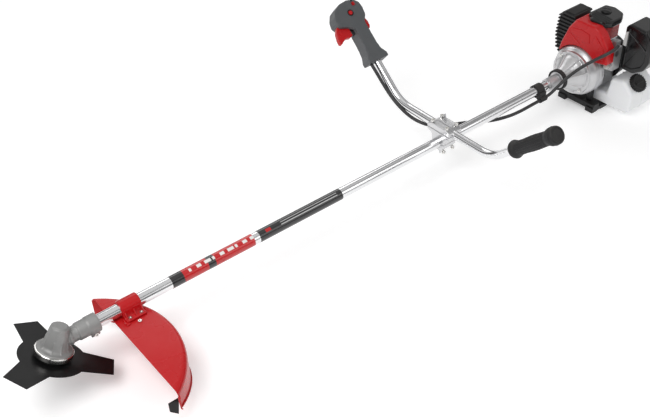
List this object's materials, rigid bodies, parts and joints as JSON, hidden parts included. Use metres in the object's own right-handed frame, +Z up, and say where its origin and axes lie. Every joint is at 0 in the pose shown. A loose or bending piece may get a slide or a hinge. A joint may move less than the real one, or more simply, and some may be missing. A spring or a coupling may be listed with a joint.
{
  "type": "brush cutter",
  "caption": "Petrol brush cutter with a straight shaft, wide handlebar, flat toothed blade, guard and rear engine with its controls.",
  "frame": {"origin": "middle of the underside of the engine stand's centre cross bar, straight below the crankshaft at the cylinder's axis", "axes": "+X from the blade to the engine along the shaft, +Z up from the ground, +Y to the throttle side"},
  "size_m": [1.8788, 0.7531, 0.368],
  "materials": {
    "red_plastic": "gloss",
    "black_plastic": "satin",
    "black_gloss": "gloss",
    "grey_plastic": "satin",
    "soft_rubber": "matte",
    "polished_aluminium": "polished",
    "cast_alloy": "satin cast",
    "housing_alloy": "satin cast",
    "bright_steel": "bright",
    "dark_steel": "satin",
    "black_blade": "satin",
    "tank_plastic": "translucent white",
    "label_film": "film",
    "clamp_alloy": "bright cast",
    "pale_plastic": "satin",
    "cable_sheath": "corrugated",
    "clear_rubber": "clear"
  },
  "bodies": {
    "frame": {"air_filter_base": "grey_plastic", "air_filter_cover": "black_gloss", "ball_bearings": "dark_steel", "cable_clip": "soft_rubber", "carburettor": "housing_alloy", "case_screws": "bright_steel", "clamp_base": "clamp_alloy", "clamp_cap": "clamp_alloy", "clamp_saddle": "clamp_alloy", "clamp_screws": "bright_steel", "clutch_housing": "housing_alloy", "control_cable": "cable_sheath", "crankcase": "housing_alloy", "cylinder": "housing_alloy", "engine_cover": "red_plastic", "engine_stand": "black_plastic", "fuel_tank": "tank_plastic", "gear_case": "cast_alloy", "gear_case_rim": "bright_steel", "guard": "red_plastic", "guard_bracket": "red_plastic", "guard_screws": "bright_steel", "handlebar_left": "polished_aluminium", "handlebar_right": "polished_aluminium", "label_bands": "label_film", "left_grip": "soft_rubber", "line_knife": "black_blade", "main_tube": "polished_aluminium", "muffler": "dark_steel", "muffler_guard": "black_plastic", "neck_ring": "soft_rubber", "piston": "cast_alloy", "plug_boot": "black_gloss", "shaft_bushes": "soft_rubber", "spark_plug": "bright_steel", "starter_housing": "black_plastic", "throttle_shell_left": "grey_plastic", "throttle_shell_right": "grey_plastic", "tube_sleeve": "housing_alloy"},
    "drive_line": {"drive_shaft": "dark_steel", "bevel_pinion": "dark_steel", "clutch_drum": "dark_steel"},
    "cutter": {"cutting_blade": "black_blade", "blade_flange": "bright_steel", "blade_cup": "dark_steel", "blade_nut": "bright_steel", "output_shaft": "dark_steel", "bevel_gear": "dark_steel"},
    "crank": {"crankshaft": "dark_steel", "flywheel": "cast_alloy", "clutch_shoes": "dark_steel"},
    "reel": {"starter_reel": "grey_plastic"},
    "trigger": {"throttle_trigger": "red_plastic"},
    "lockout": {"lockout_lever": "red_plastic"},
    "ignition_switch": {"stop_switch": "red_plastic"},
    "throttle_lock": {"lock_button": "red_plastic"},
    "carb_throttle": {"throttle_lever": "bright_steel"},
    "choke": {"choke_lever": "pale_plastic"},
    "primer": {"primer_bulb": "clear_rubber"},
    "cap": {"fuel_cap": "black_plastic"}
  },
  "joints": [
    {"name": "crank_turn", "type": "hinge", "parent": "frame", "child": "crank", "pos_m": [0, 0, 0.122], "axis": [1, 0, 0], "continuous": true},
    {"name": "drive_turn", "type": "hinge", "parent": "frame", "child": "drive_line", "pos_m": [-0.8, 0, 0.122], "axis": [1, 0, 0], "continuous": true},
    {"name": "blade_turn", "type": "hinge", "parent": "frame", "child": "cutter", "pos_m": [-1.65, 0, 0.122], "axis": [0.4462, 0, 0.8949], "continuous": true},
    {"name": "starter_turn", "type": "hinge", "parent": "frame", "child": "reel", "pos_m": [0.07, 0, 0.122], "axis": [1, 0, 0], "range_deg": [0, 1800]},
    {"name": "trigger_squeeze", "type": "hinge", "parent": "frame", "child": "trigger", "pos_m": [-0.622, 0.3465, 0.3173], "axis": [0, -0.6626, 0.749], "range_deg": [0, 14], "stiffness_Nm_per_rad": 0.3},
    {"name": "carb_throttle_turn", "type": "hinge", "parent": "frame", "child": "carb_throttle", "pos_m": [-0.02, -0.074, 0.2], "axis": [0, 0, 1], "range_deg": [0, 60]},
    {"name": "lockout_press", "type": "hinge", "parent": "frame", "child": "lockout", "pos_m": [-0.564, 0.3472, 0.318], "axis": [0, 0.6626, -0.749], "range_deg": [0, 8], "stiffness_Nm_per_rad": 0.2},
    {"name": "stop_switch_slide", "type": "slide", "parent": "frame", "child": "ignition_switch", "axis": [0, 0.749, 0.6626], "range_m": [0, 0.006]},
    {"name": "lock_button_press", "type": "slide", "parent": "frame", "child": "throttle_lock", "axis": [0, 0.6626, -0.749], "range_m": [0, 0.0025], "stiffness_N_per_m": 800},
    {"name": "primer_press", "type": "slide", "parent": "frame", "child": "primer", "axis": [1, 0, 0], "range_m": [0, 0.003], "stiffness_N_per_m": 800},
    {"name": "choke_turn", "type": "hinge", "parent": "frame", "child": "choke", "pos_m": [0, -0.093, 0.218], "axis": [1, 0, 0], "range_deg": [0, 60]},
    {"name": "cap_turn", "type": "hinge", "parent": "frame", "child": "cap", "pos_m": [0.03028, -0.132, 0.097], "axis": [0, -0.6858, 0.7278], "range_deg": [0, 540]}
  ],
  "couplings": [
    {"joint": "drive_turn", "follows": "blade_turn", "ratio": -1.3571},
    {"joint": "carb_throttle_turn", "follows": "trigger_squeeze", "ratio": 4.2857}
  ]
}
